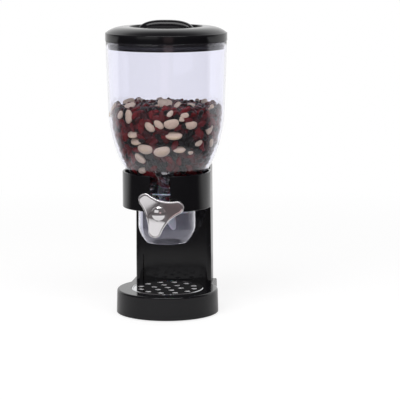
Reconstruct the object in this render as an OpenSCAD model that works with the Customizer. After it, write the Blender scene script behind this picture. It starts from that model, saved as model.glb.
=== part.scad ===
// Gravity bulk food bin: a clear hopper with a paddle wheel, held by a collar on a free-standing column.
// Millimetres. Z is up, the serving side faces -Y, and the origin is on the hopper's axis, on the table.

/* [Base] */
// Radius of the round front of the base
base_r = 72.5; // [66:0.5:78]
// Height of the base's deck above the table
base_h = 34.5; // [29:0.5:42]
// How far each side of the base's back stands in from the round
rear_in = 11.5; // [9:0.5:16]
// How far the back reaches behind the round
rear_over = 9.5; // [7:0.5:12]
// Radius of the deck's outer edge
edge_r = 2.5; // [1:0.25:4]
// Draft of the base's wall, at the table
base_flare = 0.8; // [0:0.1:1.5]
// Wall of the black housings
skin = 2.5; // [1.8:0.1:3]
// Thickness of the deck
deck_t = 3; // [2.4:0.1:4]
// Thickness of the bottom cover
bottom_t = 2.5; // [2:0.1:3.5]
// Gap under the bottom cover, which the feet fill
foot_h = 2; // [1.8:0.1:3]
// Radius of a rubber foot
foot_r = 7; // [5:0.25:9]

/* [Drip plate] */
// Radius of the pierced plate
plate_r = 51.5; // [46:0.5:54]
// Thickness of the plate
plate_t = 2.6; // [1.6:0.1:3.5]
// Height of the plate's face above the deck
plate_proud = 0.6; // [0.2:0.1:1]
// Radius of one hole
hole_r = 4.3; // [3:0.1:5]
// Distance from one ring of holes to the next
ring_pitch = 19.7; // [17:0.1:22]
// How far the plate is turned in its seat, in degrees
plate_turn = -5; // [-30:1:30]
// Width of the ledge that carries the plate
ledge_w = 2.5; // [1.5:0.1:4]
// Depth of the crumb bowl below the ledge
bowl_depth = 18; // [12:0.5:19]

/* [Column] */
// Distance from the pierced plate to the front of the column
col_gap = 1.5; // [1:0.25:4]
// How far each side of the column stands in from the base's back
col_in = 5; // [3.5:0.25:6]
// How much each side leans in by the top
col_draft = 1.5; // [0:0.1:2]
// Radius of the column's front corners
col_front_r = 8; // [3:0.5:10]
// Radius of the column's back corners
col_back_r = 3; // [1:0.25:4]
// Distance from the column's side to the recess in its foot
recess_in = 11; // [8:0.5:14]
// Height of the recess above the deck
recess_h = 38; // [24:1:50]
// Depth of the recess
recess_d = 4; // [2:0.25:5]

/* [Collar] */
// Clear height from the deck to the collar
serve_h = 120; // [100:1:135]
// Gap between the collar's mouth and the bowl, which sets the collar's height
bowl_gap = 2.6; // [0.8:0.1:4]
// Outer radius of the collar
collar_r = 63.5; // [61:0.25:66]
// Wall of the collar
collar_wall = 3.5; // [3:0.1:4]
// Gap on each side of the boss in the slot that lets it in from above
slot_gap = 2; // [1:0.25:3.5]
// Gap round the hopper's socket in the shelf that it hangs on
shelf_gap = 0.8; // [0.5:0.1:2]
// Height of the shelf's top above the collar's bottom
shelf_up = 27; // [25:0.5:30]
// Thickness of the shelf
shelf_t = 3; // [2.4:0.1:4]

/* [Dispensing chamber] */
// Outer radius of the chamber
chamber_r = 41; // [40.5:0.1:42]
// Wall of the clear chamber
chamber_wall = 2.2; // [1.8:0.1:2.4]
// Outer radius of the outlet
outlet_r = 30; // [26:0.5:34]
// Height of the tapered outlet
taper_h = 23.5; // [16:0.5:24]
// Depth from the chamber's flange to the outlet
chamber_drop = 79; // [76:0.5:86]
// How far the flange reaches over the shelf that it rests on
flange_over = 4; // [2.5:0.25:5.5]
// Thickness of the flange
flange_t = 3; // [2.4:0.1:3.6]
// Depth of the socket below the flange's seat
socket_down = 5; // [4:0.1:6]
// Height of the socket above the flange's seat
socket_up = 5; // [4:0.1:6]
// Wall of the socket round the neck
socket_wall = 2.9; // [2.6:0.1:3.2]
// Outer radius of the axle's front boss
boss_r = 12.5; // [11:0.25:13]
// How far the face of the front boss stands out of the collar
boss_out = 1.5; // [1:0.25:4]
// Depth of the axle below the flange's seat
axle_drop = 26.5; // [26:0.5:29]

/* [Canister] */
// How much wider the neck is than the chamber
neck_over = 1; // [0.6:0.1:2]
// Outer radius of the canister where the bowl begins
shoulder_r = 82.9; // [78:0.1:88]
// How much wider the mouth is than the shoulder
mouth_over = 3; // [1:0.25:5]
// Height of the bowl's curve, from its lowest point to the shoulder
bowl_drop = 134.5; // [120:0.5:150]
// Height from the shoulder to the mouth
wall_h = 88.5; // [60:0.5:120]
// Wall of the clear canister
clear_wall = 2.5; // [2:0.1:2.8]
// Thickness of the ring under the neck
seal_t = 1; // [0.8:0.1:1.4]

/* [Paddle wheel] */
// Gap between the paddles and the chamber's wall
wheel_gap = 1.8; // [1:0.1:4]
// Thickness of a paddle
blade_t = 2.6; // [1.6:0.1:3.5]
// How much less the wheel's half width is than its radius
wheel_in = 4; // [3:0.25:8]
// Angle of the first paddle at rest, in degrees
blade_turn = 47; // [0:1:59]
// Radius of the wheel's core
hub_r = 9; // [7.5:0.25:10]
// Thickness of the soft sleeve round the core
sleeve_t = 2.5; // [1.8:0.1:3.5]

/* [Axle] */
// Radius of the axle
axle_r = 4; // [3.6:0.1:4.4]
// Radius of the axle's back journal
journal_r = 3; // [2.4:0.1:3.2]
// Depth of the flat that drives the wheel and the knob
flat_d = 1.2; // [0.8:0.1:1.4]
// Running clearance of the axle in its bushes
run_gap = 0.06; // [0.03:0.01:0.1]
// Outer radius of the front bush
bush_r = 7.5; // [6.5:0.1:8.5]

/* [Knob] */
// Distance from the axle to the middle of a lobe
lobe_ring = 27; // [22:0.5:30]
// Radius of a lobe's end
lobe_r = 9.3; // [7:0.1:11]
// Radius of the waist between two lobes
waist_r = 18.3; // [15:0.1:19]
// Thickness of the knob
knob_t = 8; // [7:0.25:10]
// Bevel round the knob's face
knob_bevel = 1.2; // [0.6:0.1:1.6]
// How much thinner the knob is at the ends of its lobes
knob_thin = 2.6; // [1.6:0.1:3.5]
// Angle of the first lobe at rest, in degrees
knob_turn = 17; // [0:1:119]
// Radius of the domed cap
cap_r = 10; // [8:0.25:12]
// Height of the cap's dome
cap_rise = 3.5; // [2:0.1:5]

/* [Lid] */
// How far the lid reaches over the canister's mouth
lid_over = 0.5; // [0.3:0.1:2]
// Height of the lid's band
band_h = 11.5; // [9:0.5:14]
// Rise of the dome above the band
dome_rise = 8.5; // [6:0.5:12]
// Radius of the finger well's rim
well_r = 53; // [50:0.5:60]
// Depth of the well below its rim
well_d = 11; // [8:0.5:12]
// Half the length of the grip across the well
grip_half_l = 39.5; // [34:0.5:42]
// Width of the grip at its foot
grip_w = 20; // [16:0.5:26]
// Height of the grip above the well's rim
grip_rise = 9; // [6:0.5:12]
// Wall of the lid
lid_wall = 2.5; // [2:0.1:3]
// Depth of the plug below the mouth
plug_h = 11; // [9:0.5:14]

/* [Hidden] */
$fn = 96;
eps = 0.01;          // overlap that makes a cut or a joint clean
seat_gap = 0.1;      // between two pieces that are fixed together
slide_gap = 0.3;     // between two pieces that lift apart

// Radii and distances that follow one another, so that pieces keep together
rear_half_w = base_r - rear_in;
collar_behind = 9;   // room behind the collar for its pads and screws
rear_y = max(base_r, collar_r + collar_behind) + rear_over;
rear_corner_r = 6;
col_front_y = plate_r + col_gap;
col_half_w = rear_half_w - col_in;
recess_half_w = col_half_w - recess_in;
slot_w = 2 * (boss_r + slot_gap);
boss_y = collar_r + boss_out;
neck_r = chamber_r + neck_over;
mouth_r = shoulder_r + mouth_over;
lid_r = mouth_r + lid_over;
wheel_r = chamber_r - chamber_wall - wheel_gap;
wheel_half_w = wheel_r - wheel_in;

// Heights
deck_z = base_h;
skirt_z = 1.5;
cover_z = foot_h;
collar_z = deck_z + serve_h;
shelf_z = collar_z + shelf_up;
axle_z = shelf_z - axle_drop;
outlet_z = shelf_z - chamber_drop;
taper_z = outlet_z + taper_h;
socket_z = shelf_z - socket_down;
socket_top = shelf_z + socket_up;
neck_z = socket_z + seal_t;
neck_top = socket_top;
shoulder_z = neck_top + bowl_drop * sqrt(1 - pow(neck_r / shoulder_r, 2));
collar_top = shoulder_z - bowl_drop * sqrt(1 - pow((collar_r - collar_wall - bowl_gap) / shoulder_r, 2));
collar_h = collar_top - collar_z;
mouth_z = shoulder_z + wall_h;
band_top = mouth_z + band_h;
well_rim_z = band_top + dome_rise;
grip_top = well_rim_z + grip_rise;

// Drip plate and crumb bowl
ledge_z = deck_z + plate_proud - plate_t;
recess_r = plate_r + slide_gap;
bowl_r = plate_r - ledge_w;
bowl_z = ledge_z - bowl_depth;
bowl_wall = 2.2;
hole_rings = 2;

// Column
col_h = collar_top - deck_z;
col_back_y = rear_y - 2;
void_half_w = col_half_w - col_draft - skin;
void_z = deck_z + deck_t;
void_top = collar_top - skin;
scoop_r = collar_r + seat_gap;
cover_t = 2.5;

// Screws: shank, head and the bosses that take them
screw_r = 1.5;
screw_head_r = 2.8;
screw_head_h = 1.7;
screw_l = 12;
screw_gap = 0.05;
screw_hole_r = screw_r + screw_gap;
post_r = 4;
post_ring = base_r - skin - post_r - 5;
post_turn = 23;
foot_ring = base_r - skin - foot_r - 2;
foot_turn = 49;
post_side_in = 9;
post_rear_in = 24;
foot_side_in = 13;
foot_rear_in = 10;
column_spot_x = 16;
column_spot_in = 12;
bottom_posts = [[post_ring * cos(post_turn), -post_ring * sin(post_turn)],
                [rear_half_w - post_side_in, rear_y - post_rear_in]];
foot_spots = [[foot_ring * cos(foot_turn), -foot_ring * sin(foot_turn)],
              [rear_half_w - foot_side_in, rear_y - foot_rear_in]];
column_spots = [column_spot_x, col_half_w - column_spot_in];
column_spot_y = (col_front_y + recess_d + skin + col_back_y - cover_t) / 2;
back_post_x = void_half_w - post_r - 1;
back_post_in = 15;
back_post_zs = [deck_z + back_post_in, collar_top - back_post_in];
collar_edge = 1;
shelf_edge = 0.5;
collar_pad_x = 18;
collar_pad_w = 12;
collar_pad_in = collar_r - 12;
collar_pad_out = collar_r + 5;
collar_screw_l = 13;
collar_screw_in = 5;
collar_screw_pitch = 9;
collar_screw_zs = [shelf_z - shelf_t - collar_screw_in - collar_screw_pitch, shelf_z - shelf_t - collar_screw_in];
collar_pad_z = collar_screw_zs[0] - collar_screw_in;
wing_y = 20;

// Chamber, neck and axle
chamber_ri = chamber_r - chamber_wall;
outlet_ri = outlet_r - chamber_wall;
socket_ri = neck_r + slide_gap;
socket_r = socket_ri + socket_wall;
shelf_r = socket_r + shelf_gap;
flange_r = shelf_r + flange_over;
neck_ri = neck_r - clear_wall;
lug_h = 2.4;
lug_out = 1.4;
lug_a = 16;
back_boss_r = 9;
back_boss_y = chamber_r + 3;
back_bush_r = 6;
back_bush_y = back_boss_y - 1.2;
flange_lip = 1.2;
bush_lip_r = 10;
hub_half_l = wheel_half_w - 3;
rib_h = 1.2;
rib_w = 2.4;
rib_in = 0.6;
blade_step = 60;
rib_turn = blade_turn + blade_step / 2;
clip_t = 1;
clip_r = 6.5;
groove_r = axle_r - 0.7;

// Knob
knob_back_y = boss_y + flange_lip + 2.3;
knob_face_y = knob_back_y + knob_t;
knob_neck_r = 11;
knob_pocket_r = 6;
knob_pocket_d = 4;
knob_screw_l = 9;
axle_front_y = knob_face_y - knob_pocket_d - 0.6;
lobes = 3;
lobe_step = 360 / lobes;

// Outline of the base: a round front that runs into a straight-sided back
module base_outline(inset = 0) {
    circle(r = base_r - inset);
    block2d(rear_half_w - inset, 0, rear_y - inset, 1, max(rear_corner_r - inset, 1));
}

// A block seen from above, with its own radius at the front and at the back corners
module block2d(half_w, y0, y1, r_front, r_back) {
    translate([-half_w, y0 + r_front]) square([2 * half_w, y1 - y0 - r_front - r_back]);
    translate([-half_w + r_front, y0]) square([2 * (half_w - r_front), y1 - y0 - r_back]);
    translate([-half_w + r_back, y0 + r_front]) square([2 * (half_w - r_back), y1 - y0 - r_front]);
    for (side = [-1, 1]) {
        translate([side * (half_w - r_front), y0 + r_front]) circle(r = r_front);
        translate([side * (half_w - r_back), y1 - r_back]) circle(r = r_back);
    }
}

// Side view of half a drafted wall with a round top edge, from the middle out to a distance
module edge_profile(reach) {
    wall_top = deck_z - edge_r;
    polygon([[0, skirt_z], [reach + base_flare, skirt_z], [reach, wall_top], [reach - edge_r, wall_top],
             [reach - edge_r, deck_z], [0, deck_z]]);
    translate([reach - edge_r, wall_top]) circle(r = edge_r);
}

// The base as a solid: a turned front, and a back whose outline is cut by its end and side views
module base_body() {
    rotate_extrude() intersection() {
        edge_profile(base_r);
        square([2 * base_r, deck_z]);
    }
    intersection() {
        linear_extrude(height = deck_z) block2d(rear_half_w + base_flare, 0, rear_y + base_flare, 1, rear_corner_r);
        rotate([90, 0, 0]) translate([0, 0, -rear_y - 2]) linear_extrude(height = rear_y + 4) {
            edge_profile(rear_half_w);
            mirror([1, 0]) edge_profile(rear_half_w);
        }
        rotate([90, 0, 90]) translate([0, 0, -base_r]) linear_extrude(height = 2 * base_r) edge_profile(rear_y);
    }
}

module at_bottom_posts() {
    for (side = [-1, 1], spot = bottom_posts) translate([side * spot[0], spot[1], 0]) children();
}

module at_column_spots() {
    for (side = [-1, 1], x = column_spots) translate([side * x, column_spot_y, 0]) children();
}

// A pan-head screw along +Z, with the underside of its head at 0
module screw(l = screw_l) {
    translate([0, 0, -screw_head_h / 2]) cylinder(r = screw_r, h = l + screw_head_h / 2);
    translate([0, 0, -screw_head_h]) cylinder(r = screw_head_r, h = screw_head_h);
}

module base_shell() color("#1b1b1f") difference() {
    base_body();
    difference() {
        translate([0, 0, skirt_z - 1]) linear_extrude(height = deck_z - deck_t - skirt_z + 1)
            base_outline(skin);
        translate([0, 0, bowl_z - bowl_wall]) cylinder(r = bowl_r + bowl_wall, h = bowl_depth + deck_t + 5);
        translate([0, 0, ledge_z - bowl_wall]) cylinder(r = recess_r + bowl_wall, h = plate_t + 5);
        at_bottom_posts() translate([0, 0, cover_z + bottom_t]) cylinder(r = post_r, h = base_h);
    }
    translate([0, 0, bowl_z]) cylinder(r = bowl_r, h = base_h);
    translate([0, 0, ledge_z]) cylinder(r = recess_r, h = base_h);
    at_bottom_posts() translate([0, 0, skirt_z]) cylinder(r = screw_hole_r, h = screw_l + cover_z + 1);
    at_column_spots() translate([0, 0, deck_z - deck_t - 1]) cylinder(r = screw_hole_r, h = deck_t + 2);
}

module bottom_cover() color("#202024") translate([0, 0, cover_z]) difference() {
    linear_extrude(height = bottom_t) base_outline(skin + seat_gap);
    at_bottom_posts() translate([0, 0, -1]) cylinder(r = screw_hole_r, h = bottom_t + 2);
    for (side = [-1, 1], spot = foot_spots) translate([side * spot[0], spot[1], -1])
        cylinder(r = foot_stem_r + screw_gap, h = bottom_t + 2);
}

module bottom_screws() color("#9a9a9e") at_bottom_posts() translate([0, 0, cover_z]) screw();

// A push-in rubber foot: a disc, a stem through the cover and a bulb above it
foot_stem_r = 2.6;
foot_bulb_r = 3.4;
module foot(side, spot) color("#2a2a2c") translate([side * spot[0], spot[1], 0]) {
    rotate_extrude() polygon([[0, 0], [foot_r - 1, 0], [foot_r, 1], [foot_r, foot_h], [foot_stem_r, foot_h],
        [foot_stem_r, foot_h + bottom_t], [foot_bulb_r, foot_h + bottom_t], [foot_stem_r, foot_h + bottom_t + 3],
        [0, foot_h + bottom_t + 3]]);
}

module foot_front_left() foot(-1, foot_spots[0]);
module foot_front_right() foot(1, foot_spots[0]);
module foot_back_left() foot(-1, foot_spots[1]);
module foot_back_right() foot(1, foot_spots[1]);

// The polished plate: one hole in the middle and rings of six, twelve and so on round it
module drip_plate() color("#d8d8dc") translate([0, 0, ledge_z]) difference() {
    rotate_extrude() polygon([[0, 0], [plate_r - 0.6, 0], [plate_r, 0.6], [plate_r, plate_t - 0.8],
        [plate_r - 0.8, plate_t], [plate_r - 2.2, plate_t], [plate_r - 2.6, plate_t - 0.4], [0, plate_t - 0.4]]);
    for (ring = [0 : hole_rings], i = [0 : max(6 * ring, 1) - 1])
        rotate([0, 0, plate_turn + i * 360 / max(6 * ring, 1)]) translate([ring * ring_pitch, 0, -1])
            cylinder(r = hole_r, h = plate_t + 2, $fn = 32);
}

// The back of the collar sits in a scoop of this radius in the front of the column
module scoop(r, z) {
    translate([0, 0, z]) cylinder(r = r, h = collar_top - z + 1);
}

module at_back_posts() {
    for (side = [-1, 1], z = back_post_zs) translate([side * back_post_x, 0, z]) rotate([-90, 0, 0]) children();
}

module at_collar_screws(y) {
    for (side = [-1, 1], z = collar_screw_zs) translate([side * collar_pad_x, y, z]) rotate([90, 0, 0]) children();
}

module column_shell() color("#17171a") difference() {
    intersection() {
        translate([0, 0, deck_z]) linear_extrude(height = col_h)
            block2d(col_half_w, col_front_y, col_back_y, col_front_r, col_back_r);
        rotate([90, 0, 0]) translate([0, 0, -col_back_y - 1]) linear_extrude(height = col_back_y)
            polygon([[-col_half_w, deck_z], [col_half_w, deck_z], [col_half_w - col_draft, collar_top],
                     [-col_half_w + col_draft, collar_top]]);
    }
    difference() {
        translate([-void_half_w, col_front_y + skin, void_z])
            cube([2 * void_half_w, col_back_y, void_top - void_z]);
        translate([-recess_half_w - skin, 0, 0])
            cube([2 * (recess_half_w + skin), col_front_y + recess_d + skin, deck_z + recess_h + skin]);
        scoop(scoop_r + skin, collar_z - skin);
        for (side = [-1, 1]) translate([side * collar_pad_x - collar_pad_w / 2, 0, collar_z - skin])
            cube([collar_pad_w, collar_pad_out, shelf_z - collar_z]);
        at_back_posts() cylinder(r = post_r, h = col_back_y - cover_t);
        at_column_spots() translate([0, 0, deck_z]) cylinder(r = post_r, h = screw_l + 2);
    }
    translate([-recess_half_w, 0, deck_z - 1])
        cube([2 * recess_half_w, col_front_y + recess_d, recess_h + 1]);
    scoop(scoop_r, collar_z - seat_gap);
    at_back_posts() translate([0, 0, col_back_y - cover_t - screw_l + 1]) cylinder(r = screw_hole_r, h = screw_l);
    at_column_spots() translate([0, 0, deck_z - 1]) cylinder(r = screw_hole_r, h = screw_l);
    at_collar_screws(collar_pad_out + 1) cylinder(r = screw_hole_r, h = collar_pad_out);
}

// A flat cover let into the open back of the column
module back_cover() color("#1c1c20") difference() {
    translate([-void_half_w + seat_gap, col_back_y - cover_t, void_z + seat_gap])
        cube([2 * (void_half_w - seat_gap), cover_t, void_top - void_z - 2 * seat_gap]);
    at_back_posts() translate([0, 0, col_back_y - cover_t - 1]) cylinder(r = screw_hole_r, h = cover_t + 2);
}

module back_screws() color("#9a9a9e") at_back_posts()
    translate([0, 0, col_back_y]) mirror([0, 0, 1]) screw();

module column_screws() color("#9a9a9e") at_column_spots() translate([0, 0, deck_z - deck_t]) screw();

// The C-shaped collar, with a shelf for the hopper, cheeks beside the slot and pads for its screws
module collar() color("#17171a") difference() {
    union() {
        collar_ring(collar_r, collar_r - collar_wall, collar_z, collar_top, collar_edge);
        collar_ring(collar_r - collar_wall + 2 * shelf_edge, shelf_r, shelf_z - shelf_t, shelf_z, shelf_edge);
        difference() {
            union() {
                for (side = [-1, 1]) translate([side * (slot_w / 2 + 1.25) - 1.25, -collar_r + 2, collar_z])
                    cube([skin, collar_r, shelf_z - shelf_t - collar_z + eps]);
                intersection() {
                    for (side = [-1, 1]) translate([side * collar_pad_x - collar_pad_w / 2, 0, collar_pad_z])
                        cube([collar_pad_w, collar_r, shelf_z - shelf_t - collar_pad_z + eps]);
                    translate([0, 0, collar_pad_z - 1]) cylinder(r = collar_r - 1, h = collar_h);
                }
            }
            translate([0, 0, collar_z - 1]) cylinder(r = shelf_r, h = collar_h);
            translate([-collar_r, -shelf_r * 0.6, collar_z - 1]) cube([2 * collar_r, shelf_r, collar_h]);
        }
        // wings that close the corner between the ring and the column
        difference() {
            translate([-void_half_w + 2, wing_y, collar_z])
                cube([2 * void_half_w - 4, col_front_y - seat_gap - wing_y, collar_h]);
            translate([0, 0, collar_z - 1]) cylinder(r = collar_r - 1, h = collar_h + 2);
        }
    }
    translate([-slot_w / 2, -collar_r - 1, collar_z - 1]) cube([slot_w, collar_r, collar_h + 2]);
    at_collar_screws(collar_pad_out) cylinder(r = screw_hole_r, h = collar_pad_out - collar_pad_in);
}

// A ring about the axis with round edges
module collar_ring(r_out, r_in, z0, z1, edge) {
    rotate_extrude() {
        translate([r_in, z0 + edge]) square([r_out - r_in, z1 - z0 - 2 * edge]);
        translate([r_in + edge, z0]) square([r_out - r_in - 2 * edge, z1 - z0]);
        for (r = [r_in + edge, r_out - edge], z = [z0 + edge, z1 - edge]) translate([r, z]) circle(r = edge, $fn = 24);
    }
}

module collar_screws() color("#9a9a9e") at_collar_screws(collar_pad_out) screw(collar_screw_l);

// Radius of the bowl at a height below the shoulder: a quarter of an ellipse
function bowl_x(r, drop, d) = r * sqrt(max(0, 1 - pow(d / drop, 2)));
bowl_steps = 26;
function bowl_points(r, drop, r_end) = let (d_end = drop * sqrt(1 - pow(r_end / r, 2)))
    [for (i = [0 : bowl_steps]) let (d = d_end * sin(90 * i / bowl_steps)) [bowl_x(r, drop, d), shoulder_z - d]];

// Two lugs on the neck turn into two grooves in the socket
module at_lugs() {
    for (turn = [0, 180]) rotate([0, 0, turn]) children();
}

module wedge(a0, a1, r, z0, z1) {
    translate([0, 0, z0]) linear_extrude(height = z1 - z0)
        polygon([[0, 0], [r * cos(a0), r * sin(a0)], [r * cos((a0 + a1) / 2), r * sin((a0 + a1) / 2)],
                 [r * cos(a1), r * sin(a1)]]);
}

module canister() color("#dfe3f2", 0.35) {
    outer = bowl_points(shoulder_r, bowl_drop, neck_r);
    inner = bowl_points(shoulder_r - clear_wall, bowl_drop - clear_wall, neck_ri);
    rotate_extrude() polygon(concat(
        [[mouth_r, mouth_z]], outer, [[neck_r, neck_z], [neck_ri, neck_z]],
        [for (i = [bowl_steps : -1 : 0]) inner[i]], [[mouth_r - clear_wall, mouth_z]]));
    at_lugs() intersection() {
        translate([0, 0, neck_z + 1]) difference() {
            cylinder(r = neck_r + lug_out, h = lug_h);
            translate([0, 0, -1]) cylinder(r = neck_r - 1, h = lug_h + 2);
        }
        wedge(-lug_a / 2, lug_a / 2, collar_r, neck_z, neck_top);
    }
}

module neck_seal() color("#e9e9ec") translate([0, 0, socket_z]) difference() {
    cylinder(r = neck_r, h = seal_t);
    translate([0, 0, -1]) cylinder(r = neck_ri, h = seal_t + 2);
}

// Places a child on the axle's line at a distance in front of the axis, with its +Z towards the front
module on_axle(front) {
    translate([0, -front, axle_z]) rotate([90, 0, 0]) children();
}

taper_steps = 8;
function taper_points(r_low, r_high) = [for (i = [0 : taper_steps]) let (t = i / taper_steps)
    [r_low + (r_high - r_low) * (1 - pow(1 - t, 1.7)), outlet_z + taper_h * t]];

module dispensing_chamber() color("#dfe3f2", 0.4) difference() {
    union() {
        rotate_extrude() polygon(concat(
            [[0, outlet_z]], taper_points(outlet_r, chamber_r),
            [[chamber_r, socket_z - 4], [socket_r, socket_z], [socket_r, shelf_z], [flange_r, shelf_z],
             [flange_r, shelf_z + flange_t], [socket_r, shelf_z + flange_t], [socket_r, socket_top], [0, socket_top]]));
        on_axle(0) cylinder(r = boss_r, h = boss_y);
        on_axle(-back_boss_y) cylinder(r = back_boss_r, h = back_boss_y);
    }
    rotate_extrude() polygon(concat(
        [[0, outlet_z - 1], [outlet_ri, outlet_z - 1]], taper_points(outlet_ri, chamber_ri),
        [[chamber_ri, socket_z], [socket_ri, socket_z], [socket_ri, socket_top + 1], [0, socket_top + 1]]));
    on_axle(0) cylinder(r = bush_r, h = boss_y + 1);
    on_axle(-back_bush_y - seat_gap) cylinder(r = back_bush_r + screw_gap, h = back_bush_y);
    at_lugs() lug_groove();
}

// The path of a lug: down from the socket's mouth, then round
module lug_groove() {
    play = 1;
    intersection() {
        cylinder(r = neck_r + lug_out + slide_gap, h = socket_top + 1);
        union() {
            wedge(-lug_a / 2 - play, lug_a * 2, collar_r, neck_z + 1 - slide_gap, neck_z + 1 + lug_h + slide_gap);
            wedge(lug_a, lug_a * 2 + play, collar_r, neck_z + 1 - slide_gap, socket_top + 1);
        }
    }
}

module front_bush() color("#e6e6e6") difference() {
    union() {
        on_axle(chamber_ri) cylinder(r = bush_r - screw_gap, h = boss_y - chamber_ri);
        on_axle(boss_y) cylinder(r = bush_lip_r, h = flange_lip);
    }
    on_axle(0) cylinder(r = axle_r + run_gap, h = knob_face_y);
}

module back_bush() color("#e6e6e6") difference() {
    union() {
        on_axle(-back_bush_y) cylinder(r = back_bush_r, h = back_bush_y - chamber_ri + 2);
        on_axle(-chamber_ri + 1) cylinder(r = back_boss_r - 0.5, h = flange_lip);
    }
    on_axle(-back_bush_y + 1) cylinder(r = journal_r + run_gap, h = back_bush_y);
}

module axle() color("#c9ccd0") difference() {
    union() {
        on_axle(-hub_half_l) cylinder(r = axle_r, h = hub_half_l + axle_front_y);
        on_axle(-back_bush_y + 1.5) cylinder(r = journal_r, h = back_bush_y);
    }
    // flats for the wheel and for the knob
    on_axle(-hub_half_l - 1) translate([axle_r - flat_d, -axle_r, 0]) cube([axle_r, 2 * axle_r, 2 * hub_half_l + 1]);
    on_axle(boss_y + flange_lip) translate([axle_r - flat_d, -axle_r, 0]) cube([axle_r, 2 * axle_r, 2 * knob_t]);
    on_axle(hub_half_l) difference() {
        cylinder(r = axle_r + 1, h = clip_t + 0.1);
        translate([0, 0, -1]) cylinder(r = groove_r, h = clip_t + 3);
    }
    on_axle(axle_front_y - knob_screw_l) cylinder(r = screw_hole_r, h = knob_screw_l + 1);
}

// Spring clip in the axle's groove, open on one side
module axle_clip() color("#7b7d80") on_axle(hub_half_l + 0.05) difference() {
    cylinder(r = clip_r, h = clip_t);
    translate([0, 0, -1]) cylinder(r = groove_r + 0.05, h = clip_t + 2);
    translate([-1.9, 0, -1]) cube([3.8, clip_r + 1, clip_t + 2]);
}

// Cross-section of the axle where it drives another piece
module drive_section(gap) {
    intersection() {
        circle(r = axle_r + gap);
        translate([-2 * axle_r - flat_d + gap, -2 * axle_r]) square([3 * axle_r, 4 * axle_r]);
    }
}

// A cylinder along the axle, turned so that its seam lies inside a rib or a blade
module wheel_cylinder(r, half_l, turn) {
    on_axle(-half_l) rotate([0, 0, turn]) cylinder(r = r, h = 2 * half_l);
}

// Outside of the core, which the soft wheel is moulded round
module core_body() {
    wheel_cylinder(hub_r, hub_half_l, rib_turn);
    for (i = [0 : 5]) on_axle(-hub_half_l + rib_in) rotate([0, 0, rib_turn + blade_step * i])
        translate([hub_r - 1, -rib_w / 2, 0]) cube([1 + rib_h, rib_w, 2 * (hub_half_l - rib_in)]);
}

module wheel_core() color("#f2f2f2") difference() {
    core_body();
    on_axle(-hub_half_l - 1) linear_extrude(height = 2 * hub_half_l + 2) drive_section(screw_gap);
}

// Three round blades cross on the axle and make six paddles
module paddle_wheel() color("#e4e6ea", 0.7) difference() {
    union() {
        for (i = [0 : 2]) intersection() {
            on_axle(0) rotate([0, 0, blade_turn + blade_step * i]) rotate([90, 0, 0]) blade();
            on_axle(-wheel_half_w) cylinder(r = wheel_r + 1, h = 2 * wheel_half_w);
        }
        wheel_cylinder(hub_r + sleeve_t, hub_half_l, blade_turn);
    }
    core_body();
    wheel_cylinder(hub_r, wheel_half_w + 1, rib_turn);
}

module blade() {
    rotate_extrude() {
        translate([0, -blade_t / 2]) square([wheel_r - blade_t / 2, blade_t]);
        translate([wheel_r - blade_t / 2, 0]) intersection() {
            circle(r = blade_t / 2, $fn = 24);
            translate([-blade_t, -blade_t]) square([2 * blade_t, 2 * blade_t]);
        }
    }
}

// Outline of the knob: round lobes joined by arcs that all but touch them and leave the waist between
module knob2d() {
    touch_r = lobe_r - 0.05;
    arc_r = (pow(waist_r, 2) + pow(lobe_ring, 2) - waist_r * lobe_ring - pow(touch_r, 2))
        / (lobe_ring + 2 * touch_r - 2 * waist_r);
    arc_ring = arc_r + waist_r;
    difference() {
        polygon([for (i = [0 : 2 * lobes - 1]) let (ring = i % 2 == 0 ? lobe_ring : arc_ring, a = i * lobe_step / 2)
            [ring * cos(a), ring * sin(a)]]);
        for (i = [0 : lobes - 1]) rotate([0, 0, (i + 0.5) * lobe_step]) translate([arc_ring, 0]) circle(r = arc_r);
    }
    for (i = [0 : lobes - 1]) rotate([0, 0, i * lobe_step]) translate([lobe_ring, 0]) circle(r = lobe_r, $fn = 48);
}

module knob() color("#d9d9dd") difference() {
    reach = lobe_ring + lobe_r;
    union() {
        intersection() {
            on_axle(knob_back_y) rotate([0, 0, knob_turn]) linear_extrude(height = knob_t) knob2d();
            // the turned shape that rounds the lobes' ends and thins them from the hub out
            on_axle(knob_back_y) rotate_extrude() polygon([[0, 0], [reach - knob_bevel, 0], [reach + eps, knob_bevel],
                [reach + eps, knob_t - knob_thin - knob_bevel], [reach - knob_bevel, knob_t - knob_thin],
                [cap_r, knob_t], [0, knob_t]]);
        }
        on_axle(boss_y + flange_lip + slide_gap) cylinder(r = knob_neck_r, h = knob_back_y - boss_y);
    }
    on_axle(boss_y) linear_extrude(height = knob_face_y) drive_section(screw_gap);
    on_axle(knob_face_y - knob_pocket_d) cylinder(r = knob_pocket_r, h = knob_t);
}

module knob_screw() color("#9a9a9e") on_axle(knob_face_y - knob_pocket_d) mirror([0, 0, 1]) screw(knob_screw_l - 1);

module knob_cap() color("#e2e2e6") {
    dome_r = (pow(cap_r, 2) + pow(cap_rise, 2)) / (2 * cap_rise);
    intersection() {
        on_axle(knob_face_y - dome_r + cap_rise) sphere(r = dome_r);
        on_axle(knob_face_y) cylinder(r = cap_r + 1, h = cap_rise + 1);
    }
    on_axle(knob_face_y - knob_pocket_d + screw_head_h + 0.4)
        cylinder(r = knob_pocket_r - screw_gap, h = knob_pocket_d - screw_head_h - 0.4 + eps);
}

// Height of the lid's dome at a radius
dome_out_r = lid_r - 1;
function dome_z(r) = band_top + dome_rise * (1 - pow((r - well_r) / (dome_out_r - well_r), 2));
dome_steps = 12;
well_floor_r = well_r - 6;
well_floor_z = well_rim_z - well_d;

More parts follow.
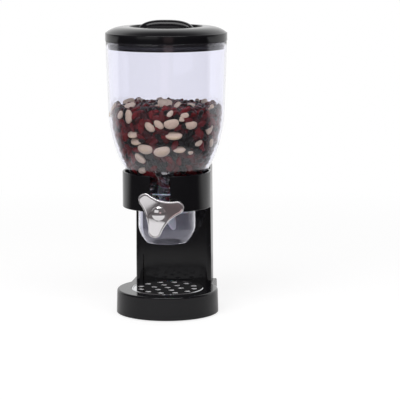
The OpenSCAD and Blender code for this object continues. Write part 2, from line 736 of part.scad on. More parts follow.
module lid_top() color("#17171a") {
    hollow_r = lid_r - lid_wall;
    difference() {
        rotate_extrude() polygon(concat(
            [[0, mouth_z], [lid_r - 0.5, mouth_z], [lid_r, mouth_z + 0.5], [lid_r, band_top - 1]],
            [for (i = [0 : dome_steps]) let (r = dome_out_r + (well_r - dome_out_r) * i / dome_steps) [r, dome_z(r)]],
            [[well_r - 1.5, well_rim_z - 0.8], [well_floor_r, well_floor_z], [0, well_floor_z]]));
        rotate_extrude() polygon(concat(
            [[0, mouth_z - 1], [hollow_r, mouth_z - 1], [hollow_r, band_top - lid_wall]],
            [for (i = [1 : dome_steps]) let (r = dome_out_r + (well_r - dome_out_r) * i / dome_steps)
                [min(r, hollow_r), dome_z(r) - lid_wall]],
            [[well_floor_r + lid_wall, well_floor_z - lid_wall], [0, well_floor_z - lid_wall]]));
        grip(lid_wall);
    }
    difference() {
        grip(0);
        grip(lid_wall);
    }
}

// The grip across the well: an arch seen from the front, a round ridge seen from the end
module grip(inset) {
    half_l = grip_half_l - inset;
    rise = 8;
    arch_r = (pow(grip_half_l, 2) + pow(rise, 2)) / (2 * rise) - inset;
    foot_z = inset > 0 ? well_floor_z - lid_wall - 1 : well_floor_z - 1;
    ridge_r = grip_w * 0.3 - inset;
    intersection() {
        translate([0, grip_w, 0]) rotate([90, 0, 0]) linear_extrude(height = 2 * grip_w) intersection() {
            translate([-half_l, foot_z]) square([2 * half_l, grip_top - foot_z]);
            translate([0, grip_top - inset - arch_r]) circle(r = arch_r, $fn = 180);
        }
        rotate([90, 0, 90]) translate([0, 0, -grip_half_l]) linear_extrude(height = 2 * grip_half_l) {
            translate([-grip_w / 2 + inset, foot_z]) square([grip_w - 2 * inset, well_rim_z - foot_z]);
            translate([0, well_rim_z]) intersection() {
                scale([1, 1]) circle(r = grip_w / 2 - inset);
                translate([-grip_w, -grip_w]) square([2 * grip_w, grip_w + grip_rise]);
            }
        }
    }
}

// Outer radius of the canister's upper wall at a height
function wall_r(z) = shoulder_r + mouth_over * (z - shoulder_z) / wall_h;
plug_r = wall_r(mouth_z - plug_h) - clear_wall - 1;
plug_wall = 2.5;
plug_disc_t = 2.4;
groove_z = mouth_z - plug_h + 2.5;
groove_h = 4;
seal_r = wall_r(groove_z) - clear_wall - slide_gap;

// The plug that closes the lid from below and fits inside the mouth
module lid_plug() color("#1a1a1d") difference() {
    union() {
        translate([0, 0, mouth_z]) cylinder(r = lid_r - lid_wall - seat_gap, h = plug_disc_t);
        translate([0, 0, mouth_z - plug_h]) cylinder(r = plug_r, h = plug_h + eps);
    }
    translate([0, 0, mouth_z - plug_h - 1]) cylinder(r = plug_r - plug_wall - 1.5, h = plug_h + 1);
    translate([0, 0, groove_z]) difference() {
        cylinder(r = plug_r + 1, h = groove_h);
        translate([0, 0, -1]) cylinder(r = plug_r - 1.5, h = groove_h + 2);
    }
}

module lid_seal() color("#3a3a3e") rotate_extrude() polygon([
    [plug_r - 1.5, groove_z], [plug_r, groove_z], [seal_r, groove_z + groove_h / 2 - 0.6],
    [seal_r, groove_z + groove_h / 2 + 0.6], [plug_r, groove_z + groove_h], [plug_r - 1.5, groove_z + groove_h]]);

base_shell();
bottom_cover();
bottom_screws();
foot_front_left();
foot_front_right();
foot_back_left();
foot_back_right();
drip_plate();
column_shell();
back_cover();
back_screws();
column_screws();
collar();
collar_screws();
canister();
neck_seal();
dispensing_chamber();
front_bush();
back_bush();
axle();
axle_clip();
wheel_core();
paddle_wheel();
knob();
knob_screw();
knob_cap();
lid_top();
lid_plug();
lid_seal();
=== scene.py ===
"""Gravity bulk food bin: the smooth surfaces, materials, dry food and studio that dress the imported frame.
Blender works in metres. Shapes are worked out in millimetres, and add_mesh turns them into metres."""

import math

import bpy
import numpy as np
from mathutils import Matrix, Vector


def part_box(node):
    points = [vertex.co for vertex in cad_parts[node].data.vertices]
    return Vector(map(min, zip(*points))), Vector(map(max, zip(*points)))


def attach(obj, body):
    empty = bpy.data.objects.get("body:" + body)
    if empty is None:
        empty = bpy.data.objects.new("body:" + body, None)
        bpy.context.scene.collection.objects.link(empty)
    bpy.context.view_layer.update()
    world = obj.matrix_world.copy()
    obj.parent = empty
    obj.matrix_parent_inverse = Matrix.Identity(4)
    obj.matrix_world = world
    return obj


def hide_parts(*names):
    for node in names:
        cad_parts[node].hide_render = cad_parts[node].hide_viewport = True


MM = 0.001
TAU = 2 * math.pi
GOLDEN = math.pi * (3 - math.sqrt(5))
# Edges that bend by more than this many degrees stay sharp; at SMOOTH none does
SHARP, SMOOTH = 38.0, 180.0

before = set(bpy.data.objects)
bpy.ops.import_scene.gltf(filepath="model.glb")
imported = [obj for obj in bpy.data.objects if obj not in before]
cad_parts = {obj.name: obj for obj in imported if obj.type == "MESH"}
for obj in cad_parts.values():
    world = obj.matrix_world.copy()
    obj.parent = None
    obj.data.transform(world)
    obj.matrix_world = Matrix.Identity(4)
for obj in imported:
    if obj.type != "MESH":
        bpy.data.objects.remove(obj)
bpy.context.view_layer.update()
BOX = {name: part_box(name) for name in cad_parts}

# Shape values that the frame's boxes don't show, in millimetres and degrees, fitted to the CAD source
SHOULDER_R, BOWL_DROP, NECK_R, CLEAR_WALL = 82.9, 134.5, 42.0, 2.5
CHAMBER_R, CHAMBER_WALL, OUTLET_R, TAPER_H = 41.0, 2.2, 30.0, 23.5
SOCKET_R, SOCKET_RI, SOCKET_DROP, FLANGE_T, FLANGE_GAP = 45.2, 42.3, 5.0, 3.0, 13.0
BOSS_R, BOSS_BACK_R, BUSH_R, BUSH_BACK_R = 12.5, 9.0, 7.5, 6.0
WHEEL_R, HUB_R, BLADE_T, BLADE_TURN = 37.0, 11.5, 2.6, 47.0
LOBE_RING, LOBE_R, WAIST_R, KNOB_TURN = 27.0, 9.3, 18.3, 17.0
KNOB_T, KNOB_FALL, KNOB_NECK_R, CAP_R, CAP_RISE = 8.0, 4.8, 11.0, 10.0, 3.5
WELL_R, WELL_D, DOME_RISE, LID_WALL = 53.0, 11.0, 8.5, 2.5
GRIP_HALF_L, GRIP_W, GRIP_RISE, GRIP_FALL = 39.5, 20.0, 9.0, 8.0
# The height that the dry food reaches, which the CAD source doesn't have
FOOD_TOP = 298.0

# Heights, radii and distances in front of the axis, in millimetres, as the frame has them now
mouth_z = BOX["canister"][1].z / MM
neck_z = BOX["canister"][0].z / MM
mouth_r = BOX["canister"][1].x / MM
outlet_z = BOX["dispensing_chamber"][0].z / MM
neck_top = BOX["dispensing_chamber"][1].z / MM
flange_r = BOX["dispensing_chamber"][1].x / MM
boss_y = -BOX["dispensing_chamber"][0].y / MM
back_boss_y = CHAMBER_R + 3
shelf_z = neck_top - 5
shoulder_z = neck_top + BOWL_DROP * math.sqrt(1 - (NECK_R / SHOULDER_R) ** 2)
axle_z = (BOX["axle"][0].z + BOX["axle"][1].z) / 2 / MM
knob_back_y = boss_y + 3.5
lid_r = BOX["lid_top"][1].x / MM
grip_top = BOX["lid_top"][1].z / MM
rim_z = grip_top - GRIP_RISE
band_top = rim_z - DOME_RISE
well_floor_z = rim_z - WELL_D


# ---------------------------------------------------------------- camera
def looking(right, up, ahead, place):
    """The matrix of a camera or a lamp: its x runs right, its y up, and it looks along its own -z."""
    return Matrix([[right[i], up[i], -ahead[i], place[i]] for i in range(3)] + [[0, 0, 0, 1]])


def make_camera(bearing, distance, height, focal, yaw, pitch, roll):
    """A long lens on a stand. The focal length is in image widths; yaw, pitch and roll are in degrees."""
    a = math.radians(bearing)
    place = np.array([math.sin(a) * distance, -math.cos(a) * distance, height])
    turn = math.atan2(-place[1], -place[0]) + math.radians(yaw)
    dip = math.radians(pitch)
    ahead = np.array([math.cos(turn) * math.cos(dip), math.sin(turn) * math.cos(dip), -math.sin(dip)])
    right = np.cross(ahead, [0, 0, 1])
    right /= np.linalg.norm(right)
    up = np.cross(right, ahead)
    r = math.radians(roll)
    right, up = right * math.cos(r) + up * math.sin(r), up * math.cos(r) - right * math.sin(r)
    data = bpy.data.cameras.new("camera")
    data.sensor_width = 36
    data.lens = focal * data.sensor_width
    data.clip_end = 60
    cam = bpy.data.objects.new("camera", data)
    cam.matrix_world = looking(right, up, ahead, place)
    bpy.context.scene.collection.objects.link(cam)
    bpy.context.scene.camera = cam
    bpy.context.scene.view_settings.view_transform = "Standard"


make_camera(bearing=9.17, distance=2.65, height=0.574, focal=4.68, yaw=-1.02, pitch=8.83, roll=-0.14)


# ---------------------------------------------------------------- materials
def lin(code):
    """An sRGB hex colour as linear RGBA."""
    c = np.array([int(code[i:i + 2], 16) for i in (1, 3, 5)]) / 255
    c = np.where(c <= 0.04045, c / 12.92, ((c + 0.055) / 1.055) ** 2.4)
    return (*c, 1.0)


def node(tree, kind, inputs=(), out=0, **props):
    """Adds a node, sets its properties, fills its inputs with numbers, hex colours or links, and returns one
    of its outputs. Inputs are a dictionary by name or number, or a list in the node's own order. In that
    order a Map Range has its value, the range it comes from and the range it goes to, held at both ends, and
    a Mix Shader has its share of the second shader and the two shaders. Colours of a Mix are inputs 6 at a
    factor of 0 and 7 at 1, and its output 2."""
    n = tree.nodes.new("ShaderNode" + kind)
    for key, value in props.items():
        setattr(n, key, value)
    for key, value in (inputs.items() if isinstance(inputs, dict) else enumerate(inputs)):
        if isinstance(value, bpy.types.NodeSocket):
            tree.links.new(value, n.inputs[key])
        else:
            n.inputs[key].default_value = lin(value) if isinstance(value, str) else value
    return n.outputs[out] if n.outputs else n


def new_material(name):
    """An empty material: itself, its node tree and its object coordinates."""
    m = bpy.data.materials.new(name)
    m.use_nodes = True
    m.node_tree.nodes.clear()
    return m, m.node_tree, node(m.node_tree, "TexCoord", out="Object")


def grain(tree, where, size_mm, depth_mm, detail=3, strength=0.5):
    """The normal of a surface with a fine grain. Size and depth of its bumps are in millimetres."""
    height = node(tree, "TexNoise", {"Vector": where, "Scale": 1 / (size_mm * MM), "Detail": detail})
    return node(tree, "Bump", {"Height": height, "Distance": depth_mm * MM, "Strength": strength})


def moulded(name, colour, light, rough, level, grain_mm, depth_mm):
    """An opaque moulded plastic or rubber: a faint mottle in its colour and gloss, and a grain in its
    surface."""
    m, tree, where = new_material(name)
    mottle = node(tree, "TexNoise", {"Vector": where, "Scale": 1 / (grain_mm * 14 * MM)})
    shader = node(tree, "BsdfPrincipled", {
        "Base Color": node(tree, "Mix", {"Factor": mottle, 6: colour, 7: light}, 2, data_type="RGBA"),
        "Roughness": node(tree, "MapRange", [mottle, 0.3, 0.7, rough * 0.85, rough * 1.15]),
        "Specular IOR Level": level,
        "Normal": grain(tree, where, grain_mm, depth_mm)})
    node(tree, "OutputMaterial", {"Surface": shader})
    return m


def metal(name, colour, light, rough, grain_mm, depth_mm):
    """A solid metal or plated face with a fine lay, and a gloss that varies a little over its width."""
    m, tree, where = new_material(name)
    lay = node(tree, "TexNoise", {"Vector": where, "Scale": 1 / (grain_mm * MM), "Detail": 3})
    wear = node(tree, "TexNoise", {"Vector": where, "Scale": 1 / (grain_mm * 20 * MM)})
    shader = node(tree, "BsdfPrincipled", {
        "Base Color": node(tree, "Mix", {"Factor": lay, 6: colour, 7: light}, 2, data_type="RGBA"),
        "Metallic": 1.0,
        "Roughness": node(tree, "MapRange", [wear, 0.3, 0.7, rough * 0.8, rough * 1.3]),
        "Normal": node(tree, "Bump", {"Height": lay, "Distance": depth_mm * MM, "Strength": 0.3})})
    node(tree, "OutputMaterial", {"Surface": shader})
    return m


def clear(name, tint, level, haze, ripple_mm, cleaner_above=0.0):
    """A clear moulding with its real thickness and a little haze from its many fine scratches, which nearly
    ends above a height in millimetres, if one is given. It lets lamp light through, so that what it holds
    is lit."""
    patch_mm, fade_mm, least = 14, 8, 0.15
    m, tree, where = new_material(name)
    solid = node(tree, "BsdfPrincipled", {
        "Base Color": tint,
        "Roughness": 0.0,
        "IOR": 1.5,
        "Specular IOR Level": level,
        "Transmission Weight": 1.0,
        "Normal": grain(tree, where, ripple_mm, 0.05, detail=1, strength=0.4)})
    scratches = node(tree, "BsdfDiffuse", {"Color": "#e6e6f4"})
    patches = node(tree, "TexNoise", {"Vector": where, "Scale": 1 / (patch_mm * MM)})
    amount = node(tree, "MapRange", [patches, 0.3, 0.7, haze * 0.8, haze * 1.2])
    if cleaner_above:
        height = node(tree, "SeparateXYZ", [where], "Z")
        less = node(tree, "MapRange", [
            height, (cleaner_above - fade_mm) * MM, cleaner_above * MM, 1.0, least])
        amount = node(tree, "Math", [amount, less], operation="MULTIPLY")
    worn = node(tree, "MixShader", [amount, solid, scratches])
    through = node(tree, "BsdfTransparent", {"Color": tint})
    in_shadow = node(tree, "LightPath", out="Is Shadow Ray")
    node(tree, "OutputMaterial", {"Surface": node(tree, "MixShader", [in_shadow, worn, through])})
    return m


def silicone(name, colour, rough):
    """A milky, soft, see-through rubber."""
    m, tree, where = new_material(name)
    milk = node(tree, "TexNoise", {"Vector": where, "Scale": 1 / (9 * MM)})
    shader = node(tree, "BsdfPrincipled", {
        "Base Color": node(tree, "Mix", {"Factor": milk, 6: colour, 7: "#f4f5f8"}, 2, data_type="RGBA"),
        "Roughness": rough,
        "IOR": 1.41,
        "Transmission Weight": 0.08,
        "Subsurface Weight": 0.4,
        "Subsurface Scale": 2 * MM,
        "Normal": grain(tree, where, 0.6, 0.02, detail=2)})
    node(tree, "OutputMaterial", {"Surface": shader})
    return m


def plate_metal(name):
    """Mirror-polished stainless steel, with a painted highlight on its side faces, the walls of the punched
    holes and the plate's edges: there it turns from steel to a bright white satin non-metal.
    """
    m, tree, where = new_material(name)
    upward = node(tree, "SeparateXYZ", [node(tree, "NewGeometry", out="Normal")], "Z")
    flat = node(tree, "Math", [upward], operation="ABSOLUTE")
    # the side faces, hole walls and the plate's edges, which carry the painted highlight
    edge = node(tree, "MapRange", [flat, 0.3, 0.7, 1.0, 0.0])
    sheen = node(tree, "TexNoise", {"Vector": where, "Scale": 1 / (6 * MM)})
    polished = node(tree, "Mix", {"Factor": sheen, 6: "#c9cacd", 7: "#d8d9dc"}, 2, data_type="RGBA")
    # painted highlight: on the side faces the colour turns near-white, the metal goes and the gloss softens
    shader = node(tree, "BsdfPrincipled", {
        "Base Color": node(tree, "Mix", {"Factor": edge, 6: polished, 7: "#f4f4f6"}, 2, data_type="RGBA"),
        "Metallic": node(tree, "MapRange", [edge, 0, 1, 1.0, 0.0]),
        "Roughness": node(tree, "MapRange", [edge, 0, 1, 0.045, 0.4]),
        "Normal": grain(tree, where, 0.5, 0.004, strength=0.3)})
    node(tree, "OutputMaterial", {"Surface": shader})
    return m


def bean_skin(name, colours, spot, rough):
    """A dry seed coat: each seed takes its own shade from an attribute, with fine mottling and a waxy
    gloss."""
    m, tree, where = new_material(name)
    shade = node(tree, "Attribute", out="Fac", attribute_name="shade")
    base = node(tree, "Mix", {"Factor": shade, 6: colours[0], 7: colours[1]}, 2, data_type="RGBA")
    flecks = node(tree, "TexNoise", {"Vector": where, "Scale": 1 / (1.6 * MM), "Detail": 4})
    fleck = node(tree, "MapRange", [flecks, 0.52, 0.72, 0.0, 0.6])
    shader = node(tree, "BsdfPrincipled", {
        "Base Color": node(tree, "Mix", {"Factor": fleck, 6: base, 7: spot}, 2, data_type="RGBA"),
        "Roughness": rough,
        "Specular IOR Level": 0.25,
        "Normal": grain(tree, where, 1.1, 0.12, strength=0.4)})
    node(tree, "OutputMaterial", {"Surface": shader})
    return m


# A pixel of the photograph is about 1.4 mm, so the finer grains don't show one by one: they soften the gloss
MAT = {
    # ABS from a polished mould: deep black, with slightly soft reflections. Base, column, collar, lid
    "black_abs": moulded("black_abs", "#0f0f12", "#151518", rough=0.13, level=0.34, grain_mm=1.6,
                         depth_mm=0.004),
    # the same ABS with a spark-eroded texture: a flat dark grey, on faces that nobody looks at
    "matt_black": moulded("matt_black", "#101012", "#19191c", rough=0.42, level=0.4, grain_mm=0.45,
                          depth_mm=0.03),
    # moulded styrene-acrylonitrile, a food-grade plastic: clear, with a cool cast and bright edges
    "clear_san": clear("clear_san", "#f6f6fe", level=0.14, haze=0.003, ripple_mm=22),
    # the same plastic where paddles and food have rubbed it: a thin milky veil
    "worn_san": clear("worn_san", "#f5f5ff", level=0.36, haze=0.082, ripple_mm=9, cleaner_above=160),
    # moulded food-grade silicone: milky and soft. The paddles and the ring under the neck
    "clear_silicone": silicone("clear_silicone", "#eceef2", rough=0.3),
    # moulded acetal: a waxy white. The bushes and the core of the wheel
    "white_acetal": moulded("white_acetal", "#dededc", "#ececea", rough=0.36, level=0.45, grain_mm=0.8,
                            depth_mm=0.01),
    # chromium plate over moulded ABS: a bright mirror with slightly soft images
    "chrome": metal("chrome", "#eeecee", "#f4f2f4", rough=0.06, grain_mm=5.0, depth_mm=0.003),
    # polished stainless steel sheet: a grey mirror whose punched edges carry a painted highlight. The drip
    # plate
    "polished_steel": plate_metal("polished_steel"),
    # drawn stainless steel bar: bright, with a fine lay
    "axle_steel": metal("axle_steel", "#b9bbbf", "#cbccd0", rough=0.2, grain_mm=0.7, depth_mm=0.004),
    # zinc-plated steel: a duller light grey
    "screw_steel": metal("screw_steel", "#9da0a4", "#b4b6b8", rough=0.3, grain_mm=0.9, depth_mm=0.01),
    # moulded thermoplastic rubber: nearly black and flat on the feet, a little paler on the lid's ring
    "foot_rubber": moulded("foot_rubber", "#18181a", "#242426", rough=0.7, level=0.3, grain_mm=0.5,
                           depth_mm=0.03),
    "seal_rubber": moulded("seal_rubber", "#232327", "#303035", rough=0.5, level=0.35, grain_mm=0.6,
                           depth_mm=0.02),
    # the waxy coats of dry beans: cream with tan flecks, wine red, and nearly black
    "lima": bean_skin("lima", ("#c2a98f", "#dac8b4"), "#ad9178", rough=0.36),
    "kidney": bean_skin("kidney", ("#2a0809", "#6c1418"), "#190405", rough=0.26),
    "turtle": bean_skin("turtle", ("#0a0606", "#151813"), "#1d201a", rough=0.28),
    # the same mixture where it lies deeper than a seed or two: dark red-brown without edges
    "mixture": moulded("mixture", "#0d0607", "#3a0f14", rough=0.5, level=0.3, grain_mm=0.7, depth_mm=0.5),
}

NODE_MATERIAL = {
    "base_shell": "black_abs", "bottom_cover": "matt_black", "bottom_screws": "screw_steel",
    "foot_front_left": "foot_rubber", "foot_front_right": "foot_rubber",
    "foot_back_left": "foot_rubber", "foot_back_right": "foot_rubber",
    "drip_plate": "polished_steel", "column_shell": "black_abs", "back_cover": "matt_black",
    "back_screws": "screw_steel", "column_screws": "screw_steel", "collar": "black_abs",
    "collar_screws": "screw_steel", "canister": "clear_san", "neck_seal": "clear_silicone",
    "dispensing_chamber": "worn_san", "front_bush": "white_acetal", "back_bush": "white_acetal",
    "axle": "axle_steel", "axle_clip": "axle_steel", "wheel_core": "white_acetal",
    "paddle_wheel": "clear_silicone", "knob": "chrome", "knob_screw": "screw_steel", "knob_cap": "chrome",
    "lid_top": "black_abs", "lid_plug": "black_abs", "lid_seal": "seal_rubber",
}
for name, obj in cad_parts.items():
    obj.data.materials.clear()
    obj.data.materials.append(MAT[NODE_MATERIAL[name]])


# ---------------------------------------------------------------- surfaces
def add_mesh(name, verts, quads, material, sharp=SHARP):
    """A mesh object at the origin from vertices in millimetres, with its normals outward and its true edges
    kept sharp. A quad with two corners on one point, as at a pole, becomes a triangle."""
    tri = np.vstack([quads[:, [0, 1, 2]], quads[:, [0, 2, 3]]])
    p = verts[tri]
    if np.einsum("ij,ij->i", p[:, 0], np.cross(p[:, 1], p[:, 2])).sum() < 0:
        quads = quads[:, ::-1]
    used, quads = np.unique(quads, return_inverse=True)
    quads = quads.reshape(-1, 4)
    keep = quads != np.roll(quads, 1, axis=1)
    sides = keep.sum(1)
    me = bpy.data.meshes.new(name)
    me.vertices.add(len(used))
    me.vertices.foreach_set("co", (verts[used] * MM).astype(np.float32).ravel())
    me.loops.add(int(sides.sum()))
    me.loops.foreach_set("vertex_index", quads[keep].astype(np.int32))
    me.polygons.add(len(quads))
    me.polygons.foreach_set("loop_start", (np.cumsum(sides) - sides).astype(np.int32))
    me.update(calc_edges=True)
    me.shade_smooth()
    me.set_sharp_from_angle(angle=math.radians(sharp))
    me.materials.append(material)
    obj = bpy.data.objects.new(name, me)
    bpy.context.scene.collection.objects.link(obj)
    return obj


def skin(name, grid, material, loop=False, poles=(False, False), sharp=SHARP):
    """A surface through a grid of points. Columns run round it and always join; rows run along it and join if
    it loops. A row marked as a pole has shrunk to one point."""
    rows, cols = grid.shape[:2]
    idx = np.arange(rows * cols).reshape(rows, cols)
    if poles[0]:
        idx[0] = idx[0, 0]
    if poles[1]:
        idx[-1] = idx[-1, 0]
    if loop:
        idx = np.vstack([idx, idx[:1]])
    idx = np.hstack([idx, idx[:, :1]])
    quads = np.stack([idx[:-1, :-1], idx[:-1, 1:], idx[1:, 1:], idx[1:, :-1]], -1).reshape(-1, 4)
    return add_mesh(name, grid.reshape(-1, 3), quads, material, sharp)


def rounded(corners, steps=6):
    """A path through corners (across, along, radius). Each corner with a radius is an arc that touches both
    sides: the arc starts radius / tan(half the corner's angle) from the corner and turns about the centre on
    the bisector."""
    path = []
    n = len(corners)
    for i, (x, y, r) in enumerate(corners):
        p = np.array([x, y], float)
        if r <= 0:
            path.append(p)
            continue
        a = np.array(corners[i - 1][:2], float) - p
        b = np.array(corners[(i + 1) % n][:2], float) - p
        a /= np.linalg.norm(a)
        b /= np.linalg.norm(b)
        half = math.acos(np.clip(a @ b, -1, 1)) / 2
        mid = (a + b) / np.linalg.norm(a + b)
        centre = p + mid * r / math.sin(half)
        start, end = p + a * r / math.tan(half) - centre, p + b * r / math.tan(half) - centre
        t0 = math.atan2(start[1], start[0])
        sweep = (math.atan2(end[1], end[0]) - t0 + math.pi) % TAU - math.pi
        t = t0 + sweep * np.linspace(0, 1, steps + 1)
        path.extend(centre + r * np.stack([np.cos(t), np.sin(t)], -1))
    return np.array(path)


def turned(path, around=144):
    """Points of a path (radius, height) turned about the upright axis: x = r cos t, y = r sin t,
    z = height."""
    t = np.linspace(0, TAU, around, endpoint=False)
    r, z = path[:, :1], path[:, 1:]
    return np.stack([r * np.cos(t), r * np.sin(t), z + 0 * t], -1)


def on_axle(grid, front=0.0):
    """Moves points (x, y, distance in front) from the axle's own frame to the row frame."""
    return np.stack([grid[..., 0], -(front + grid[..., 2]), axle_z + grid[..., 1]], -1)


def bowl(r, drop, r_end, steps=60):
    """The bowl's wall from its lowest edge up to the shoulder: an ellipse, r * sqrt(1 - (depth / drop)^2)."""
    deepest = math.asin(math.sqrt(1 - (r_end / r) ** 2))
    a = np.linspace(deepest, 0, steps)
    return np.stack([r * np.cos(a), shoulder_z - drop * np.sin(a)], -1)


def canister():
    """The clear canister: neck, elliptic bowl, straight wall and rounded mouth, turned about the axis, with
    its inside the same curve drawn in by the wall."""
    mouth_round, neck_round, wall_rows = 1.1, 0.7, 16
    outer = bowl(SHOULDER_R, BOWL_DROP, NECK_R)
    inner = bowl(SHOULDER_R - CLEAR_WALL, BOWL_DROP - CLEAR_WALL, NECK_R - CLEAR_WALL)
    mouth = rounded([(SHOULDER_R, shoulder_z, 0), (mouth_r, mouth_z, mouth_round),
                     (mouth_r - CLEAR_WALL, mouth_z, mouth_round), (SHOULDER_R - CLEAR_WALL, shoulder_z, 0)])
    neck = rounded([(NECK_R - CLEAR_WALL, neck_top, 0), (NECK_R - CLEAR_WALL, neck_z, neck_round),
                    (NECK_R, neck_z, neck_round), (NECK_R, neck_top, 0)])
    wall = np.linspace(0, 1, wall_rows)[1:-1, None]
    rise = outer[-1] + wall * (mouth[1] - outer[-1])
    fall = mouth[-2] + wall * (inner[-1] - mouth[-2])
    path = np.vstack([neck[1:-1], outer, rise, mouth[1:-1], fall, inner[::-1]])
    obj = skin("canister_clear", turned(path, 192), MAT["clear_san"], loop=True)
    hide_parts("canister")
    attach(obj, "hopper")


def taper(low, high, steps=24):
    """The outlet's wall: radius low + (high - low) * (1 - (1 - t)^1.7) over the taper's height."""
    t = np.linspace(0, 1, steps)
    return np.stack([low + (high - low) * (1 - (1 - t) ** 1.7), outlet_z + TAPER_H * t], -1)


def chamber():
    """The clear chamber under the hopper: rounded outlet, taper, round body, socket and flange, and two
    bosses that are short tubes turned about the axle. The third value of each corner is its rounding."""
    ri = CHAMBER_R - CHAMBER_WALL
    outlet_ri = OUTLET_R - CHAMBER_WALL
    taper_z, socket_z, flange_z = outlet_z + TAPER_H, shelf_z - SOCKET_DROP, shelf_z + FLANGE_T
    # the lip's first and last points are left out: they only give its sides their slope
    lip = rounded([(ri - 11, outlet_z + 9, 0), (outlet_ri, outlet_z, 0.8), (OUTLET_R, outlet_z, 0.8),
                   (OUTLET_R + 3, outlet_z + 9, 0)])[1:-1]
    top = rounded([(CHAMBER_R, taper_z, 0), (CHAMBER_R, socket_z - 4, 1.5), (SOCKET_R, socket_z, 1),
                   (SOCKET_R, shelf_z, 0.5), (flange_r, shelf_z, 0.6), (flange_r, flange_z, 0.6),
                   (SOCKET_R, flange_z, 0.5), (SOCKET_R, neck_top, 0.8), (SOCKET_RI, neck_top, 0.8),
                   (SOCKET_RI, socket_z, 0.4), (ri, socket_z, 0.8), (ri, taper_z, 0)])[1:-1]
    # the taper's first three rows are left out on both sides: the lip's roundings take their place
    path = np.vstack([lip, taper(OUTLET_R, CHAMBER_R)[3:], top, taper(outlet_ri, ri)[:2:-1]])
    grid = turned(path, 240)
    # the flange stops at each side of the collar's slot
    r = np.hypot(grid[..., 0], grid[..., 1])
    beside = np.where(grid[..., 1] < 0, np.clip((np.abs(grid[..., 0]) - FLANGE_GAP) / 1.5, 0.01, 1), 1)
    grid[..., :2] *= (np.where(r > SOCKET_R, SOCKET_R + (r - SOCKET_R) * beside, r) / r)[..., None]
    body = skin("chamber_clear", grid, MAT["worn_san"], loop=True)
    front = rounded([(BUSH_R, ri + 1, 0.2), (BOSS_R, ri - 4, 0.2), (BOSS_R, boss_y, 0.7),
                     (BUSH_R, boss_y, 0.4)])
    tube = skin("boss_front_clear", on_axle(turned(front, 64)), MAT["worn_san"], loop=True)
    pocket_y = back_boss_y - 1.1
    back = rounded([(0, pocket_y, 0), (BUSH_BACK_R, pocket_y, 0.3), (BUSH_BACK_R, ri + 0.5, 0.2),
                    (BOSS_BACK_R, ri - 2.2, 0.2), (BOSS_BACK_R, back_boss_y, 0.7), (0, back_boss_y, 0)])
    behind = on_axle(turned(back, 64) * [1, 1, -1])
    cup = skin("boss_back_clear", behind, MAT["worn_san"], poles=(True, True))
    for obj in (body, tube, cup):
        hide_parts("dispensing_chamber")
        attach(obj, "hopper")


def knob_outline(per_arc=40):
    """Three round lobes joined by hollow arcs that touch them: points and outward normals of the closed
    outline. The hollow's radius is the one that passes through the waist and touches both lobes."""
    arc_r = ((WAIST_R ** 2 + LOBE_RING ** 2 - WAIST_R * LOBE_RING - LOBE_R ** 2)
             / (LOBE_RING + 2 * LOBE_R - 2 * WAIST_R))
    ring = arc_r + WAIST_R
    touch = math.atan2(ring * math.sin(TAU / 6), ring * math.cos(TAU / 6) - LOBE_RING)
    t = np.linspace(0, 1, per_arc, endpoint=False)
    convex = -touch + 2 * touch * t
    hollow = touch + math.pi + (math.radians(120) - 2 * touch) * t
    lobe_n = np.stack([np.cos(convex), np.sin(convex)], -1)
    arc_n = np.stack([np.cos(hollow), np.sin(hollow)], -1)
    p = np.vstack([[LOBE_RING, 0] + LOBE_R * lobe_n,
                   [ring * math.cos(TAU / 6), ring * math.sin(TAU / 6)] + arc_r * arc_n])
    n = np.vstack([lobe_n, -arc_n])
    points, normals = [], []
    for i in range(3):
        a = math.radians(KNOB_TURN) + i * TAU / 3
        turn = np.array([[math.cos(a), math.sin(a)], [-math.sin(a), math.cos(a)]])
        points.append(p @ turn)
        normals.append(n @ turn)
    return np.vstack(points), np.vstack(normals)


